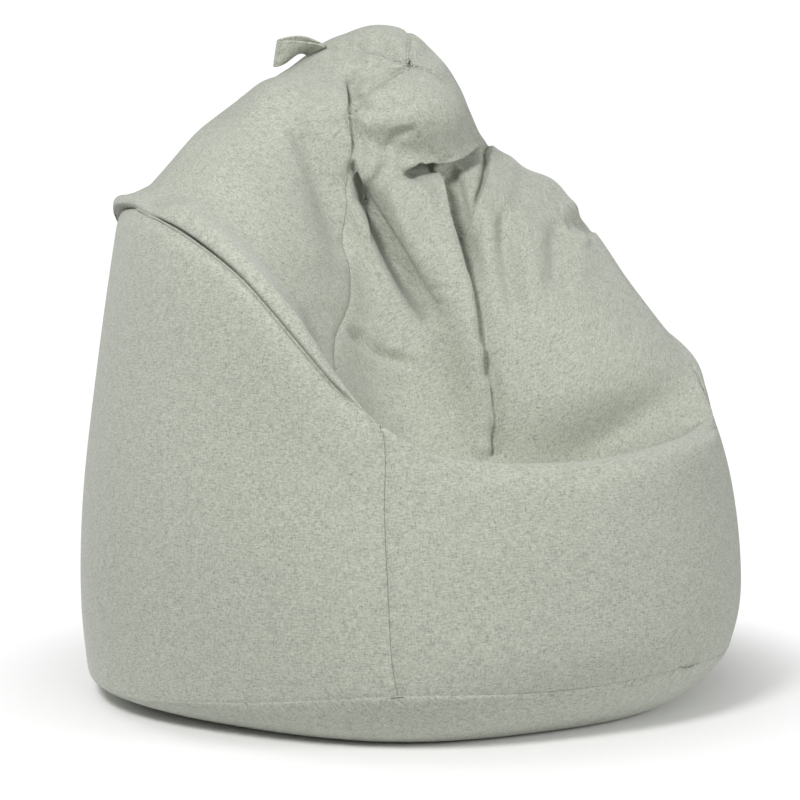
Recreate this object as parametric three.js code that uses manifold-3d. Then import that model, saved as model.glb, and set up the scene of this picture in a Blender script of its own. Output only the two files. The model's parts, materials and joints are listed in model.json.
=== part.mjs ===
// A pear-shaped bean bag chair: a sewn cover of four gores that meet at the tip, and a base;
// a bag of beads inside it, a zip down the rear seam and a carry loop at the top.
// Millimetres, +Z up. The origin is on the floor under the middle of the chair; the seat
// faces -Y. Angles run round the chair from the front: 0 is -Y, 90 is +X, 180 is +Y.
import * as THREE from "three";
import Module from "manifold-3d";

// Driving dimensions.
const COVER = 2; // cover cloth, with its pile
const LINER = 0.8; // inner bag cloth
const LINER_DEPTH = 3.8; // how far the inner bag lies under the cover's outer face
const FILL_DEPTH = 5.4; // how far the beads lie under the cover's outer face
const SEAM_GAP = 2.2; // between two sewn edges, where the thread runs
const THREAD_RADIUS = 0.4;
const COLUMNS = 36; // points round the chair
const GORE = COLUMNS / 4;
const STEEPEST = 0.6; // the cosine at the sharpest fold that is still sunk in full

// The carry loop.
const LOOP = { reach: 54, span: 52, width: 36, bulge: 9, cloth: 3, root: 2.4, standOff: 4.2 };

// The zip.
const ZIP_ANGLE = 150; // the seam it is sewn into
const ZIP_RADIUS = 438; // where its straight line stands
const ZIP = { bottom: 112, top: 408, halfGap: 4.5, tapeFrom: 2.2, tapeTo: 13, tape: 0.6, tapeDepth: 2.4 };
const SLIDER = { length: 11, half: 3.8, rest: 123 };
const PULL = { length: 25, half: 2.5, cloth: 1.1, barDepth: 1.7 };

// The shape: level curves from the base seam up to the tip. Each has the distance from its
// middle and the height above the floor at twelve angles, from -150 round to 180. lean
// moves its middle towards the back and side towards +X, and turn is how many degrees the
// gores are dragged round the chair where the seat and the tip pull them.
const ANGLES = [-150, -120, -90, -60, -30, 0, 30, 60, 90, 120, 150, 180];
const LEVELS = [
  {
    name: "base seam", lean: 0,
    radius: [428, 424, 430, 418, 430, 414, 430, 414, 428, 416, 430, 416],
    height: [33, 28, 27, 50, 76, 70, 74, 50, 40, 38, 36, 34],
    turn: [0, 0, 0, 0, 0.6, 0, 0, 0, 0, 0, 0, 0],
  },
  {
    name: "low side", lean: 0,
    radius: [434, 433, 434, 430, 434, 429, 434, 429, 435, 434, 438, 434],
    height: [112, 112, 112, 114, 118, 116, 116, 112, 110, 110, 111, 112],
    turn: [0, 0, 0, 0, -0.3, 0, 0, 0, 0, 0, 0, 0],
  },
  {
    name: "belly", lean: 0,
    radius: [434, 429, 432, 431, 430, 428, 430, 429, 434, 438, 438, 436],
    height: [232, 242, 252, 235, 190, 182, 182, 182, 190, 200, 210, 220],
    turn: [0, 0, 0, 0, -0.9, 0, 0, 0, 0, 0, 0, 0],
  },
  {
    name: "shoulder", lean: 0,
    radius: [426, 407, 410, 411, 416, 416, 415, 418, 428, 436, 438, 436],
    height: [400, 425, 445, 400, 287, 272, 268, 268, 284, 300, 320, 340],
    turn: [0, 0, 0, 0, -1.7, 0, 0, 0, 0, 0, 0, 0],
  },
  {
    name: "rim", lean: 0,
    radius: [412, 379, 384, 393, 395, 392, 394, 399, 410, 424, 438, 428],
    height: [530, 610, 634, 572, 374, 333, 342, 345, 362, 385, 410, 460],
    turn: [0, 0, 0, 0, -2.4, -1, 0, 0, 0, 0, 0, 0],
  },
  {
    name: "groove", lean: 30,
    radius: [388, 364, 370, 362, 346, 330, 340, 402, 392, 402, 408, 402],
    height: [562, 621, 641, 553, 334, 298, 300, 374, 420, 450, 475, 510],
    turn: [0, 0, 0, 0, -8, -5, -3, 0, 0, 0, 0, 0],
  },
  {
    name: "crease", lean: 60,
    radius: [358, 322, 330, 326, 255, 220, 280, 404, 368, 376, 380, 375],
    height: [594, 634, 653, 549, 300, 274, 295, 400, 460, 505, 530, 570],
    turn: [0, 0, 0, 0, -10, -8, -5, 0, 0, 0, 0, 0],
  },
  {
    name: "low back", lean: 90,
    radius: [322, 278, 297, 298, 205, 190, 318, 392, 350, 346, 342, 340],
    height: [634, 655, 678, 588, 370, 360, 390, 434, 505, 555, 585, 620],
    turn: [0, 0, 0, 0, -12, -9, -5, 0, 0, 0, 0, 0],
  },
  {
    name: "middle back", lean: 120,
    radius: [268, 217, 250, 268, 176, 175, 285, 350, 318, 308, 298, 295],
    height: [680, 698, 718, 646, 480, 465, 480, 503, 565, 615, 640, 665],
    turn: [0, 0, 0, 0, -6, -4, -2, 0, 0, 0, 0, 0],
  },
  {
    name: "high back", lean: 168,
    radius: [186, 157, 177, 217, 160, 165, 226, 297, 272, 246, 234, 222],
    height: [728, 748, 753, 710, 605, 585, 588, 597, 642, 685, 705, 722],
    turn: [0, 0, 0, 0, -2, -1, 0, 0, 0, 0, 0, 0],
  },
  {
    name: "neck", lean: 178,
    radius: [130, 116, 130, 154, 150, 142, 158, 178, 176, 184, 172, 155],
    height: [766, 776, 782, 772, 705, 680, 677, 688, 712, 742, 758, 768],
    turn: [-6, -12, -5, 0, 4, 0, 0, 0, 0, 0, 0, 0],
  },
  {
    name: "crown", lean: 165,
    radius: [96, 90, 99, 117, 125, 140, 158, 139, 139, 130, 115, 105],
    height: [803, 796, 790, 774, 737, 740, 743, 754, 783, 805, 822, 820],
    turn: [-15, -25, -12, 0, 0, 0, -5, -12, -10, -10, -12, -10],
  },
  {
    name: "brow", side: 12, lean: 125,
    radius: [66, 62, 62, 66, 72, 74, 78, 82, 84, 82, 78, 72],
    height: [833, 813, 793, 775, 770, 775, 785, 795, 815, 845, 852, 843],
    turn: [-14, -20, -10, 0, 0, 0, -6, -15, -15, -22, -28, -18],
  },
  {
    name: "tip", side: 35, lean: 78,
    radius: [4, 4, 4, 4, 4, 4, 4, 4, 4, 4, 4, 4],
    height: [807, 806, 804, 803, 802, 801, 802, 803, 804, 806, 807, 808],
  },
];
// The base from the middle of the floor out to its seam: [share of the radius, share of the
// seam's height].
const BASE_RINGS = [[0.45, 0], [0.86, 0], [0.92, 0.1], [0.962, 0.34], [0.988, 0.66]];
const TIP_RISE = 1; // from the last level to the very point
// Where the rows of points lie, counted in levels.
const ROWS = [0, 0.5, 1, 1.5, 2, 2.5, 3, 3.5, 4, 4.5, 5, 5.5, 6, 7, 8, 9, 10, 11, 11.5, 12, 12.5, 13];
const ZIP_ROWS = [1, 4];

const up = new THREE.Vector3(0, 0, 1);
const radians = THREE.MathUtils.degToRad;
const outwards = (angle) =>
  new THREE.Vector3(Math.sin(radians(angle)), -Math.cos(radians(angle)), 0);
const along = (from, to, distance) =>
  to.clone().sub(from).setLength(distance).add(from);

// The point that lies towards to, a given distance from the lines joining from to the ends.
function clearOf(from, to, ends, distance) {
  const way = to.clone().sub(from).normalize();
  const sines = ends.map((e) => e.clone().sub(from).normalize().cross(way).length());
  return from.clone().addScaledVector(way, distance / Math.min(...sines));
}

// A level's outline as a point for each column, starting at -150 degrees.
function levelPoint(level, column) {
  const place = (column * ANGLES.length) / COLUMNS;
  const k = level.turn ? place + smoothAt(level.turn, place) / 30 : place;
  return outwards(-150 + k * 30)
    .multiplyScalar(smoothAt(level.radius, k))
    .add(new THREE.Vector3(level.side ?? 0, level.lean, smoothAt(level.height, k)));
}

// The value at place k between the twelve angles, on a smooth curve through their values.
function smoothAt(values, k) {
  const i = Math.floor(k);
  const s = k - i;
  const [a, b, c, d] = [-1, 0, 1, 2].map(
    (n) => values[(i + n + ANGLES.length) % ANGLES.length],
  );
  return THREE.MathUtils.lerp(b, c, s) +
    0.5 * s * (1 - s) * ((1 - s) * (2 * b - a - c) + s * (2 * c - b - d));
}

const columnAt = (angle) => ((angle + 150) * COLUMNS) / 360;
const ZIP_COLUMN = columnAt(ZIP_ANGLE);
const zipLine = outwards(ZIP_ANGLE).multiplyScalar(ZIP_RADIUS);

// The cover's outer face as rows of points from the middle of the base to the tip. Side
// rows follow the curve through one column's levels.
function outerRows() {
  const columns = [...Array(COLUMNS).keys()];
  const curves = columns.map(
    (c) => new THREE.CatmullRomCurve3(LEVELS.map((l) => levelPoint(l, c)), false, "centripetal"),
  );
  const side = ROWS.map((t) =>
    columns.map((c) => {
      const p = curves[c].getPoint(t / (LEVELS.length - 1));
      const zipped = c === ZIP_COLUMN && t >= ZIP_ROWS[0] && t <= ZIP_ROWS[1];
      return zipped ? new THREE.Vector3(zipLine.x, zipLine.y, p.z) : p;
    }),
  );
  const base = BASE_RINGS.map(([share, lift]) =>
    side[0].map((p) => new THREE.Vector3(p.x * share, p.y * share, p.z * lift)),
  );
  const tip = side[side.length - 1]
    .reduce((sum, p) => sum.add(p), new THREE.Vector3())
    .divideScalar(COLUMNS)
    .add(new THREE.Vector3(0, 0, TIP_RISE));
  return { base, side, tip };
}

const outer = outerRows();
const grid = [...outer.base, ...outer.side];
const SIDE_START = outer.base.length;
const SIDE_END = SIDE_START + outer.side.length - 1;
const bottomMiddle = new THREE.Vector3(0, 0, 0);
const column = (c) => (c + COLUMNS) % COLUMNS;

// The corners of the grid's triangles that meet at a point, each as [row, column] pairs in
// the order that turns outwards.
const around = (r, c) => [
  [[r, c + 1], [r + 1, c + 1]],
  [[r + 1, c + 1], [r + 1, c]],
  [[r + 1, c], [r, c - 1]],
  [[r, c - 1], [r - 1, c - 1]],
  [[r - 1, c - 1], [r - 1, c]],
  [[r - 1, c], [r, c + 1]],
];
const gridPoint = (r, c) =>
  r < 0 ? bottomMiddle : r >= grid.length ? outer.tip : grid[r][column(c)];

// The way into the cloth at each point of the grid, as long as it takes to sink one
// millimetre under the faces that meet there.
const inwards = grid.map((row, r) =>
  row.map((p, c) => {
    if (p.z === 0) return new THREE.Vector3(0, 0, 1);
    const faces = around(r, c).map(([a, b]) => {
      const sides = [a, b].map(([i, j]) => gridPoint(i, j).clone().sub(p));
      return { normal: sides[0].clone().cross(sides[1]).normalize(), angle: sides[0].angleTo(sides[1]) };
    });
    const normal = faces
      .reduce((sum, f) => sum.addScaledVector(f.normal, f.angle), new THREE.Vector3())
      .normalize();
    const least = Math.min(...faces.filter((f) => f.angle > 0.01).map((f) => f.normal.dot(normal)));
    return normal.multiplyScalar(-1 / Math.max(least, STEEPEST));
  }),
);
const sunk = (r, c, depth) =>
  grid[r][column(c)].clone().addScaledVector(inwards[r][column(c)], depth);

// ---- Solids from grids of points ----

// A closed mesh from outside and inside grids of points, with walls along open edges.
// pole is the pair of points that a ring of rows closes on, if it does.
function sheet(outside, inside, { ring = false, pole = null, poleFirst = false } = {}) {
  const positions = [];
  const rows = outside.length;
  const columns = outside[0].length;
  const triangle = (a, b, c) => positions.push(...a.toArray(), ...b.toArray(), ...c.toArray());
  const quad = (a, b, c, d) => {
    triangle(a, b, c);
    triangle(a, c, d);
  };
  const steps = ring ? columns : columns - 1;
  const next = (c) => (c + 1) % columns;
  for (let r = 0; r + 1 < rows; r++)
    for (let c = 0; c < steps; c++) {
      quad(outside[r][c], outside[r][next(c)], outside[r + 1][next(c)], outside[r + 1][c]);
      quad(inside[r][c], inside[r + 1][c], inside[r + 1][next(c)], inside[r][next(c)]);
    }
  if (!ring)
    for (let r = 0; r + 1 < rows; r++) {
      const last = columns - 1;
      quad(outside[r][0], outside[r + 1][0], inside[r + 1][0], inside[r][0]);
      quad(outside[r][last], inside[r][last], inside[r + 1][last], outside[r + 1][last]);
    }
  const [low, high] = [0, rows - 1];
  for (let c = 0; c < steps; c++) {
    if (!(pole && poleFirst))
      quad(outside[low][c], inside[low][c], inside[low][next(c)], outside[low][next(c)]);
    if (!(pole && !poleFirst))
      quad(outside[high][c], outside[high][next(c)], inside[high][next(c)], inside[high][c]);
    if (pole && poleFirst) {
      triangle(pole[0], outside[low][next(c)], outside[low][c]);
      triangle(pole[1], inside[low][c], inside[low][next(c)]);
    }
    if (pole && !poleFirst) {
      triangle(outside[high][c], outside[high][next(c)], pole[0]);
      triangle(inside[high][next(c)], inside[high][c], pole[1]);
    }
  }
  return geometryOf(positions);
}

// A solid whose whole skin is one grid that closes on a point at each end.
function lump(rows, first, last) {
  const positions = [];
  const triangle = (a, b, c) => positions.push(...a.toArray(), ...b.toArray(), ...c.toArray());
  const columns = rows[0].length;
  for (let c = 0; c < columns; c++) {
    const n = (c + 1) % columns;
    triangle(first, rows[0][n], rows[0][c]);
    triangle(rows[rows.length - 1][c], rows[rows.length - 1][n], last);
    for (let r = 0; r + 1 < rows.length; r++) {
      triangle(rows[r][c], rows[r][n], rows[r + 1][n]);
      triangle(rows[r][c], rows[r + 1][n], rows[r + 1][c]);
    }
  }
  return geometryOf(positions);
}

function geometryOf(positions) {
  const g = new THREE.BufferGeometry();
  g.setAttribute("position", new THREE.Float32BufferAttribute(positions, 3));
  g.computeVertexNormals();
  return g;
}

// ---- Materials ----

const material = (color, roughness, metalness = 0) =>
  new THREE.MeshStandardMaterial({ color, roughness, metalness, side: THREE.DoubleSide });
const coverCloth = material("#a9ad9b", 0.95);
const linerCloth = material("#e8e8e4", 0.9);
const beads = material("#f4f4f2", 0.85);
const threadYarn = material("#8f9484", 0.8);
const zipTape = material("#8d9282", 0.9);
const zipCoil = material("#7f8476", 0.45);
const zipMetal = material("#a9abab", 0.35, 0.9);

const chair = new THREE.Group();
function add(name, geometry, mat, parent = chair) {
  const mesh = new THREE.Mesh(geometry, mat);
  mesh.name = name;
  parent.add(mesh);
  return mesh;
}

// ---- Cover ----

const sideRows = [...Array(SIDE_END - SIDE_START + 1).keys()].map((i) => SIDE_START + i);

// How far a gore's edge stands back from the seam's line at one row.
function edgeGap(r, c) {
  const t = ROWS[r - SIDE_START];
  return column(c) === ZIP_COLUMN && t >= ZIP_ROWS[0] && t <= ZIP_ROWS[1]
    ? ZIP.halfGap
    : SEAM_GAP / 2;
}

// Near the tip the points stand as close as the gap is wide, so they all move up to make
// room between the held-back ends.
function sharedOut(line, first, end) {
  const last = line.length - 1;
  const from = first.distanceTo(line[0]) / line[1].distanceTo(line[0]);
  const to = last - end.distanceTo(line[last]) / line[last - 1].distanceTo(line[last]);
  return line.map((_, i) => {
    const k = THREE.MathUtils.lerp(from, to, i / last);
    const j = Math.min(Math.floor(k), last - 1);
    return line[j].clone().lerp(line[j + 1], k - j);
  });
}

// Points of a piece that runs from one column to another, sunk under the outer face, with
// its edges held back from the lines where it is sewn.
function piece(rows, from, to, depth, gap) {
  const points = rows.map((r) => {
    const line = [];
    for (let c = from; c <= to; c++) line.push(sunk(r, c, depth));
    const seamEnds = (c) =>
      [r - 1, r + 1].filter((n) => rows.includes(n)).map((n) => sunk(n, c, depth));
    const last = line.length - 1;
    const crowded = line[0].distanceTo(line[1]) < 2 * SEAM_GAP;
    const first = clearOf(line[0], line[1], seamEnds(from), gap(r, from));
    const end = clearOf(line[last], line[last - 1], seamEnds(to), gap(r, to));
    if (crowded) return sharedOut(line, first, end);
    line[0] = first;
    line[last] = end;
    return line;
  });
  return endsHeldBack(points, SEAM_GAP / 2);
}

function endsHeldBack(points, gap, ring = false) {
  const last = points.length - 1;
  const held = (row, towards) =>
    row.map((p, c) => {
      const n = row.length;
      const beside = ring ? [row[(c + 1) % n], row[(c + n - 1) % n]] : [row[c + 1], row[c - 1]];
      return clearOf(p, towards[c], beside.filter(Boolean), gap);
    });
  return [held(points[0], points[1]), ...points.slice(1, last), held(points[last], points[last - 1])];
}

const FIRST_SEAM = columnAt(-120);
const GORE_NAMES = ["front_left_panel", "front_right_panel", "rear_right_panel", "rear_left_panel"];
GORE_NAMES.forEach((name, k) => {
  const from = FIRST_SEAM + k * GORE;
  const skin = (depth) => piece(sideRows, from, from + GORE, depth, edgeGap);
  add(name, sheet(skin(0), skin(COVER)), coverCloth);
});

// The base panel lies flat on the floor and turns up to its seam.
function basePanel(depth, thick) {
  const rows = [...Array(SIDE_START + 1).keys()];
  const skin = (d) => {
    const points = rows.map((r) => [...Array(COLUMNS).keys()].map((c) => sunk(r, c, d)));
    const last = points.length - 1;
    points[last] = points[last].map((p, c) => along(p, points[last - 1][c], SEAM_GAP / 2));
    return points;
  };
  const pole = [depth, depth + thick].map((d) => new THREE.Vector3(0, 0, d));
  return sheet(skin(depth), skin(depth + thick), { ring: true, pole, poleFirst: true });
}
add("base_panel", basePanel(0, COVER), coverCloth);

// ---- Inner bag and beads ----

const HALVES = { liner_left_half: columnAt(-210), liner_right_half: columnAt(-30) };
for (const [name, from] of Object.entries(HALVES)) {
  const skin = (depth) => piece(sideRows, from, from + COLUMNS / 2, depth, () => SEAM_GAP / 2);
  add(name, sheet(skin(LINER_DEPTH), skin(LINER_DEPTH + LINER)), linerCloth);
}
add("liner_base", basePanel(LINER_DEPTH, LINER), linerCloth);

const fillRows = grid.map((row, r) => row.map((p, c) => sunk(r, c, FILL_DEPTH)));
add(
  "bead_fill",
  lump(
    fillRows,
    new THREE.Vector3(0, 0, FILL_DEPTH),
    outer.tip.clone().addScaledVector(up, -FILL_DEPTH),
  ),
  beads,
);

// ---- Seam threads ----

// A path through given points, one step to each, so a tube along it bends where they do.
class PointPath extends THREE.Curve {
  constructor(points) {
    super();
    this.points = points;
  }
  getPoint(u, target = new THREE.Vector3()) {
    const last = this.points.length - 1;
    const k = Math.min(Math.floor(u * last + 1e-9), last - 1);
    return target.lerpVectors(this.points[k], this.points[k + 1], u * last - k);
  }
  getPointAt(u, target) {
    return this.getPoint(u, target);
  }
  getTangentAt(u, target = new THREE.Vector3()) {
    const half = 0.5 / (this.points.length - 1);
    const before = this.getPoint(Math.max(u - half, 0));
    return target.copy(this.getPoint(Math.min(u + half, 1))).sub(before).normalize();
  }
}

function thread(points) {
  const section = new THREE.Shape(
    [...Array(6).keys()].map((i) => {
      const a = (i * Math.PI) / 3;
      return new THREE.Vector2(Math.cos(a), Math.sin(a)).multiplyScalar(THREAD_RADIUS);
    }),
  );
  return new THREE.ExtrudeGeometry(section, {
    extrudePath: new PointPath(points),
    steps: points.length - 1,
    bevelEnabled: false,
  });
}

const SEAM_NAMES = ["left", "front", "right", "rear"];
SEAM_NAMES.forEach((name, k) => {
  const c = FIRST_SEAM + k * GORE;
  const rows = sideRows.filter((r) => c !== ZIP_COLUMN || ROWS[r - SIDE_START] > ZIP_ROWS[1]);
  const points = rows.map((r) => sunk(r, c, COVER / 2));
  const last = points.length - 1;
  points[0] = along(points[0], points[1], 4);
  points[last] = along(points[last], points[last - 1], 4);
  add(name + "_seam_thread", thread(points), threadYarn);
});

// The base seam's thread runs once round and stops short of meeting.
const round = [...Array(COLUMNS + 1).keys()].map((c) => sunk(SIDE_START, c, COVER / 2));
round[0] = along(round[0], round[1], 2);
round[COLUMNS] = along(round[COLUMNS], round[COLUMNS - 1], 2);
add("base_seam_thread", thread(round), threadYarn);

// ---- Zip ----

// The zip's own frame: x across the seam, y up along it, z out of the chair.
const zip = new THREE.Group();
const zipAcross = new THREE.Vector3().crossVectors(up, outwards(ZIP_ANGLE));
zip.quaternion.setFromRotationMatrix(
  new THREE.Matrix4().makeBasis(zipAcross, up, outwards(ZIP_ANGLE)),
);
zip.position.copy(zipLine);
chair.add(zip);

// A tape lies under the gore's edge, on the gore's own flat facets.
function tape(towards) {
  const rows = sideRows.filter((r) => {
    const t = ROWS[r - SIDE_START];
    return t >= ZIP_ROWS[0] && t <= ZIP_ROWS[1];
  });
  const skin = (depth) =>
    rows.map((r) => {
      const seam = sunk(r, ZIP_COLUMN, depth);
      const beside = sunk(r, ZIP_COLUMN + towards, depth);
      const edges = [along(seam, beside, ZIP.tapeFrom), along(seam, beside, ZIP.tapeTo)];
      return towards > 0 ? edges : edges.reverse();
    });
  const hold = (points) => endsHeldBack(points, 1);
  return sheet(hold(skin(ZIP.tapeDepth)), hold(skin(ZIP.tapeDepth + ZIP.tape)));
}
add("zip_tape_left", tape(1), zipTape);
add("zip_tape_right", tape(-1), zipTape);

function block(width, height, depth, x, y, z) {
  return new THREE.BoxGeometry(width, height, depth).translate(x, y, z);
}
const coilLength = ZIP.top - ZIP.bottom - 8;
const coilMiddle = (ZIP.top + ZIP.bottom) / 2;
for (const [name, side] of [["left", 1], ["right", -1]]) {
  add(`zip_coil_${name}`, block(1.5, coilLength, 1.5, side * 1.05, coilMiddle, -2.3), zipCoil, zip);
  add(`zip_top_stop_${name}`, block(1.5, 2.4, 2.2, side * 1.05, ZIP.top - 2.2, -2.2), zipMetal, zip);
}
add("zip_bottom_stop", block(3.6, 2.4, 2.2, 0, ZIP.bottom + 2.2, -2.2), zipMetal, zip);

const wasm = await Module();
wasm.setup();

// Joins closed three.js geometries into one.
function join(...geometries) {
  const solids = geometries.map((geometry) => {
    const position = geometry.getAttribute("position");
    const index = geometry.index.array;
    const key = new Map();
    const vertices = [];
    const merged = Array.from({ length: position.count }, (_, i) => {
      const p = [position.getX(i), position.getY(i), position.getZ(i)];
      const name = p.map((v) => v.toFixed(4)).join();
      if (!key.has(name)) {
        key.set(name, vertices.length / 3);
        vertices.push(...p);
      }
      return key.get(name);
    });
    return new wasm.Manifold(
      new wasm.Mesh({
        numProp: 3,
        vertProperties: new Float32Array(vertices),
        triVerts: new Uint32Array([...index].map((i) => merged[i])),
      }),
    );
  });
  const made = solids.reduce((a, b) => a.add(b)).getMesh();
  const g = new THREE.BufferGeometry();
  g.setAttribute("position", new THREE.BufferAttribute(made.vertProperties, 3));
  g.setIndex(new THREE.BufferAttribute(made.triVerts, 1));
  return g;
}

// The slider rides over the coils: a plate with a lip down each side, and an arched bail.
const plate = block(SLIDER.half * 2, SLIDER.length, 1.6, 0, SLIDER.rest, -0.1);
const lips = [1, -1].map((side) =>
  block(1.1, SLIDER.length, 1.2, side * (SLIDER.half - 0.55), SLIDER.rest, -1.3),
);
const bailLegs = [1, -1].map((end) => block(1.4, 0.9, 2.6, 0, SLIDER.rest + end * 3.4, 1.6));
const bailBar = block(1.4, 7.7, 0.9, 0, SLIDER.rest, 3.2);
add("zip_slider", join(plate, ...lips, ...bailLegs, bailBar), zipMetal, zip);

// The pull hangs from a bar that passes under the bail.
const barWidth = PULL.half * 2;
const pullBar = new THREE.CylinderGeometry(0.55, 0.55, barWidth, 12)
  .rotateZ(Math.PI / 2)
  .translate(0, SLIDER.rest, PULL.barDepth);
const pullArms = [1, -1].map((side) =>
  block(0.9, 6.2, PULL.cloth, side * (PULL.half - 0.45), SLIDER.rest - 2.9, PULL.barDepth),
);
const tab = block(
  barWidth, PULL.length - 5, PULL.cloth, 0, SLIDER.rest - 5 - (PULL.length - 5) / 2, PULL.barDepth,
);
add("zip_pull", join(pullBar, ...pullArms, tab), zipMetal, zip);

// ---- Carry loop ----

// A strap folded into a loop. Both ends are sewn into the left seam just below the brow. The
// strap leaves the seam at a slant, lies over to the left and twists until it stands on edge.
const rootRow = SIDE_START + ROWS.indexOf(11.5);
const rootLine = sunk(rootRow + 1, FIRST_SEAM, 0).sub(sunk(rootRow - 1, FIRST_SEAM, 0)).normalize();
const root = sunk(rootRow, FIRST_SEAM, -LOOP.standOff)
  .lerp(sunk(rootRow + 1, FIRST_SEAM, -LOOP.standOff), 0.15);
const leaves = new THREE.Vector3(-0.86, 0.3, 0.42).normalize();
const lies = new THREE.Vector3(-0.886, 0.448, -0.115).normalize();
const onEdge = new THREE.Vector3(0.05, -0.25, 0.97).normalize();
const middle = new THREE.CubicBezierCurve3(
  new THREE.Vector3(),
  leaves.clone().multiplyScalar(LOOP.span / 3),
  lies.clone().multiplyScalar((LOOP.span * 2) / 3),
  lies.clone().multiplyScalar(LOOP.span),
);

// Where a point of the flat loop ends up: its x runs along the strap, y through it, z across it.
function twisted(flat) {
  const along = THREE.MathUtils.clamp(flat.x / LOOP.reach, 0, 1);
  const turned = THREE.MathUtils.smoothstep(along, 0, 1);
  const across = rootLine.clone().lerp(onEdge, turned).normalize();
  const through = new THREE.Vector3().crossVectors(across, middle.getTangent(along)).normalize();
  return middle.getPoint(along).addScaledVector(through, flat.y).addScaledVector(across, flat.z);
}

function loopGeometry() {
  const outline = (inset, start) => {
    const bulge = LOOP.bulge - inset;
    const end = LOOP.reach - LOOP.bulge;
    const half = Math.max(LOOP.root - inset, 0.4);
    const path = new THREE.Shape();
    path.moveTo(start, -half);
    path.bezierCurveTo(start + 12, -half, end - 20, -bulge, end, -bulge);
    path.absarc(end, 0, bulge, -Math.PI / 2, Math.PI / 2, false);
    path.bezierCurveTo(end - 20, bulge, start + 12, half, start, half);
    path.closePath();
    return path;
  };
  const shape = outline(0, 0);
  shape.holes.push(outline(LOOP.cloth, 12));
  const geometry = new THREE.ExtrudeGeometry(shape, {
    depth: LOOP.width, steps: 3, bevelEnabled: false, curveSegments: 8,
  }).translate(0, 0, -LOOP.width / 2);
  const corners = geometry.getAttribute("position");
  const flat = new THREE.Vector3();
  for (let i = 0; i < corners.count; i += 1) {
    const place = twisted(flat.fromBufferAttribute(corners, i));
    corners.setXYZ(i, place.x, place.y, place.z);
  }
  geometry.computeVertexNormals();
  return geometry;
}
const loop = add("carry_loop", loopGeometry(), coverCloth);
loop.position.copy(root);

export default chair;
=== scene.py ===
"""The looks of a pear-shaped bean bag chair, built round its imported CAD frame.

The cover is worked out as one grid of points: columns run up the gores, rows run round the
chair. It is folded, relaxed as cloth, creased, drawn in along its seams, and only then cut
into four gores and a base. Lengths are metres. Angles run round from the front (-Y): 90 is +X.
"""
import json
import math

import bpy
import numpy as np
from mathutils import Matrix, Vector

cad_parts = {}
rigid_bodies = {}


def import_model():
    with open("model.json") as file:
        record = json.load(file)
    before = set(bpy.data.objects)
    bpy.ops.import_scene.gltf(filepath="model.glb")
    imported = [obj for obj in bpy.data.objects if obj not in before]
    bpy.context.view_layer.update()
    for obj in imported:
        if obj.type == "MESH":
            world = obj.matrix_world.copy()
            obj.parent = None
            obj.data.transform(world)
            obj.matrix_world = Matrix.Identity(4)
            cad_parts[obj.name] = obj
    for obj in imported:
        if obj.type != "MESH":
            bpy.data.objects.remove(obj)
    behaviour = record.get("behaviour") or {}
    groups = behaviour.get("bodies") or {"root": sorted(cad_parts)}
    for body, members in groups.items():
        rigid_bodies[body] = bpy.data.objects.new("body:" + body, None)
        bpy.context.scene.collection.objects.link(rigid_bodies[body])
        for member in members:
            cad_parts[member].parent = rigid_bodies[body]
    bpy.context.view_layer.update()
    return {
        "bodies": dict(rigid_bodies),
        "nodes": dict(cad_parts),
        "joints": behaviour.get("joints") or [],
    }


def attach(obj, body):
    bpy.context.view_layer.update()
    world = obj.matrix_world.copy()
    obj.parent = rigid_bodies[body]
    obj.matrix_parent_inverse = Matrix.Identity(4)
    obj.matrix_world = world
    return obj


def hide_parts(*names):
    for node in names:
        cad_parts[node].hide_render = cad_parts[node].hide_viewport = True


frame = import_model()
bodies, nodes = frame["bodies"], frame["nodes"]

# ---- Where the picture is taken from ----

AZIMUTH = math.radians(-27)
ELEVATION = math.radians(8)
DISTANCE = 4.0
FIELD = 1.04439  # the width of the plane through the chair that the camera takes in
AIM_HEIGHT = 0.371
AIM_LEFT = 0.015666
SIGHT = np.array([
    math.sin(AZIMUTH) * math.cos(ELEVATION),
    -math.cos(AZIMUTH) * math.cos(ELEVATION),
    math.sin(ELEVATION),
])  # from the chair to the camera
RIGHT = np.array([math.cos(AZIMUTH), math.sin(AZIMUTH), 0.0])
UP = np.cross(SIGHT, RIGHT)
AIM = np.array([0, 0, AIM_HEIGHT]) - RIGHT * AIM_LEFT


def seen(points):
    """Each point's place across and above the floor, in the plane through the chair that
    faces the camera."""
    q = points - AIM
    near = DISTANCE / (DISTANCE - q @ SIGHT)
    return np.stack([q @ RIGHT * near, q @ UP * near + AIM_HEIGHT], -1)


# ---- The cover's outline, level by level ----

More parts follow.
